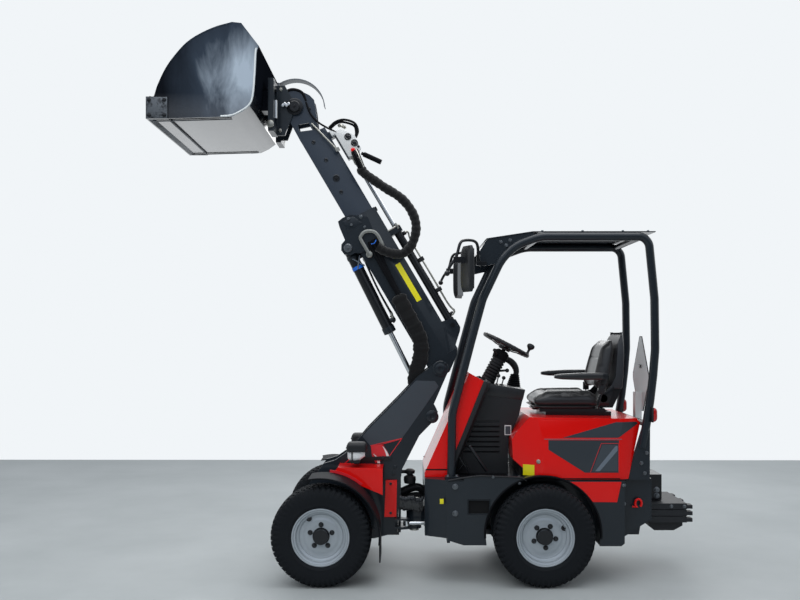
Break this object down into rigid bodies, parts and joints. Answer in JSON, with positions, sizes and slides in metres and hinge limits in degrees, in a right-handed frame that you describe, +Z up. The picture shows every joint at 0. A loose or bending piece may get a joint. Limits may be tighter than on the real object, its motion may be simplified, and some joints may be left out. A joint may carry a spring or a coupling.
{
  "type": "mini wheel loader",
  "caption": "Small articulated wheel loader with a telescopic boom held up, a bucket, an open canopy over one seat and four block-tread tyres.",
  "frame": {"origin": "on the ground, under the middle of the bounding box", "axes": "+X to the bucket, +Y to the operator's left, +Z up; the centre joint's axis is at X = 0.0715 m"},
  "size_m": [3.237, 1.08, 3.258],
  "materials": {
    "blue_grey_paint": "semi-gloss powder coat",
    "cast_black": "black-painted casting",
    "red_paint": "gloss paint",
    "black_metal": "satin black",
    "seat_vinyl": "grained vinyl",
    "black_plastic": "fine-grained moulding",
    "lamp_red": "red lens",
    "plate_grey": "matt light grey sheet",
    "zinc_steel": "zinc plated",
    "lamp_clear": "clear lens",
    "hose_black": "fabric-sleeved hose",
    "chrome_rod": "polished",
    "block_grey": "moulded",
    "tyre_rubber": "matt tread rubber",
    "rim_silver": "silver wheel paint"
  },
  "bodies": {
    "rear_frame": {"rear_chassis": "blue_grey_paint", "side_panels": "blue_grey_paint", "engine": "cast_black", "engine_hood": "red_paint", "seat_base": "black_metal", "seat_cushion": "seat_vinyl", "seat_back": "seat_vinyl", "seat_shell": "black_plastic", "armrests": "black_plastic", "console_cowl": "red_paint", "console": "black_plastic", "steering_column": "black_plastic", "controls": "black_plastic", "left_hoop": "blue_grey_paint", "right_hoop": "blue_grey_paint", "canopy_bars": "blue_grey_paint", "roof_panel": "blue_grey_paint", "mirrors": "black_plastic", "rear_hitch": "black_metal", "rear_weights": "cast_black", "rear_lamps": "lamp_red", "rear_plate": "plate_grey", "rear_wheel_motors": "black_metal"},
    "front_frame": {"front_frame": "blue_grey_paint", "centre_pin": "zinc_steel", "boom_pin": "zinc_steel", "mudguards": "black_plastic", "headlamps": "lamp_clear", "lamp_mounts": "black_plastic", "fender_panels": "red_paint", "tower_covers": "red_paint", "front_wheel_motors": "black_metal"},
    "boom_outer": {"boom_outer": "blue_grey_paint", "lift_pin": "zinc_steel", "telescope_barrel": "black_metal", "hose_sleeve": "hose_black", "hose_loop": "hose_black"},
    "boom_inner": {"boom_inner": "blue_grey_paint", "telescope_rod": "chrome_rod", "bucket_pin": "zinc_steel", "coupler_block": "block_grey"},
    "tilt_lever": {"tilt_lever": "blue_grey_paint"},
    "bucket": {"quick_coupler": "blue_grey_paint", "bucket": "black_metal", "hose_guard": "zinc_steel"},
    "lift_barrel": {"lift_barrel": "black_metal"},
    "lift_rod": {"lift_rod": "chrome_rod"},
    "steer_barrel": {"steer_barrel": "black_metal"},
    "steer_rod": {"steer_rod": "chrome_rod"},
    "steering_wheel": {"steering_wheel": "black_plastic"},
    "front_left_wheel": {"front_left_tyre": "tyre_rubber", "front_left_rim": "rim_silver"},
    "front_right_wheel": {"front_right_tyre": "tyre_rubber", "front_right_rim": "rim_silver"},
    "rear_left_wheel": {"rear_left_tyre": "tyre_rubber", "rear_left_rim": "rim_silver"},
    "rear_right_wheel": {"rear_right_tyre": "tyre_rubber", "rear_right_rim": "rim_silver"}
  },
  "joints": [
    {"name": "articulation", "type": "hinge", "parent": "rear_frame", "child": "front_frame", "pos_m": [0.0715, 0, 0.33], "axis": [0, 0, 1], "range_deg": [-40, 40]},
    {"name": "front_left_wheel_spin", "type": "hinge", "parent": "front_frame", "child": "front_left_wheel", "pos_m": [0.6165, 0.432, 0.292], "axis": [0, 1, 0], "continuous": true},
    {"name": "front_right_wheel_spin", "type": "hinge", "parent": "front_frame", "child": "front_right_wheel", "pos_m": [0.6165, -0.432, 0.292], "axis": [0, 1, 0], "continuous": true},
    {"name": "rear_left_wheel_spin", "type": "hinge", "parent": "rear_frame", "child": "rear_left_wheel", "pos_m": [-0.6775, 0.432, 0.292], "axis": [0, 1, 0], "continuous": true},
    {"name": "rear_right_wheel_spin", "type": "hinge", "parent": "rear_frame", "child": "rear_right_wheel", "pos_m": [-0.6775, -0.432, 0.292], "axis": [0, 1, 0], "continuous": true},
    {"name": "boom_lift", "type": "hinge", "parent": "front_frame", "child": "boom_outer", "pos_m": [-0.0915, 0, 1.249], "axis": [0, -1, 0], "range_deg": [-110, 0]},
    {"name": "telescope", "type": "slide", "parent": "boom_outer", "child": "boom_inner", "axis": [0.5075, 0, 0.8616], "range_m": [-0.5, 0], "deforming": ["hose_loop"]},
    {"name": "tilt_level", "type": "hinge", "parent": "boom_inner", "child": "tilt_lever", "pos_m": [0.81882, 0, 2.88309], "axis": [0, -1, 0], "range_deg": [0, 110]},
    {"name": "bucket_tilt", "type": "hinge", "parent": "tilt_lever", "child": "bucket", "pos_m": [0.81882, 0, 2.88309], "axis": [0, -1, 0], "range_deg": [-40, 30]},
    {"name": "lift_ram_swing", "type": "hinge", "parent": "boom_outer", "child": "lift_barrel", "pos_m": [0.48503, 0, 1.9992], "axis": [0, -1, 0], "range_deg": [-1.3, 0]},
    {"name": "lift_ram_stroke", "type": "slide", "parent": "lift_barrel", "child": "lift_rod", "axis": [-0.4472, 0, -0.8945], "range_m": [-0.495, 0]},
    {"name": "steer_ram_swing", "type": "hinge", "parent": "rear_frame", "child": "steer_barrel", "pos_m": [-0.3485, 0.135, 0.3], "axis": [0, 0, 1], "range_deg": [-4.5, 4.5]},
    {"name": "steer_ram_stroke", "type": "slide", "parent": "steer_barrel", "child": "steer_rod", "axis": [0.9995, 0.0319, 0], "range_m": [-0.098, 0.098]},
    {"name": "steering_wheel_turn", "type": "hinge", "parent": "rear_frame", "child": "steering_wheel", "pos_m": [-0.5065, 0, 1.39], "axis": [-0.4633, 0, 0.8862], "range_deg": [-180, 180]}
  ],
  "couplings": [
    {"joint": "tilt_level", "follows": "boom_lift", "ratio": -1},
    {"joint": "lift_ram_swing", "follows": "boom_lift", "ratio": 0.01115},
    {"joint": "lift_ram_stroke", "follows": "boom_lift", "m_per_rad": 0.25726},
    {"joint": "steer_ram_swing", "follows": "articulation", "ratio": 0.11},
    {"joint": "steer_ram_stroke", "follows": "articulation", "m_per_rad": -0.1398},
    {"joint": "steering_wheel_turn", "follows": "articulation", "ratio": 4.5}
  ]
}
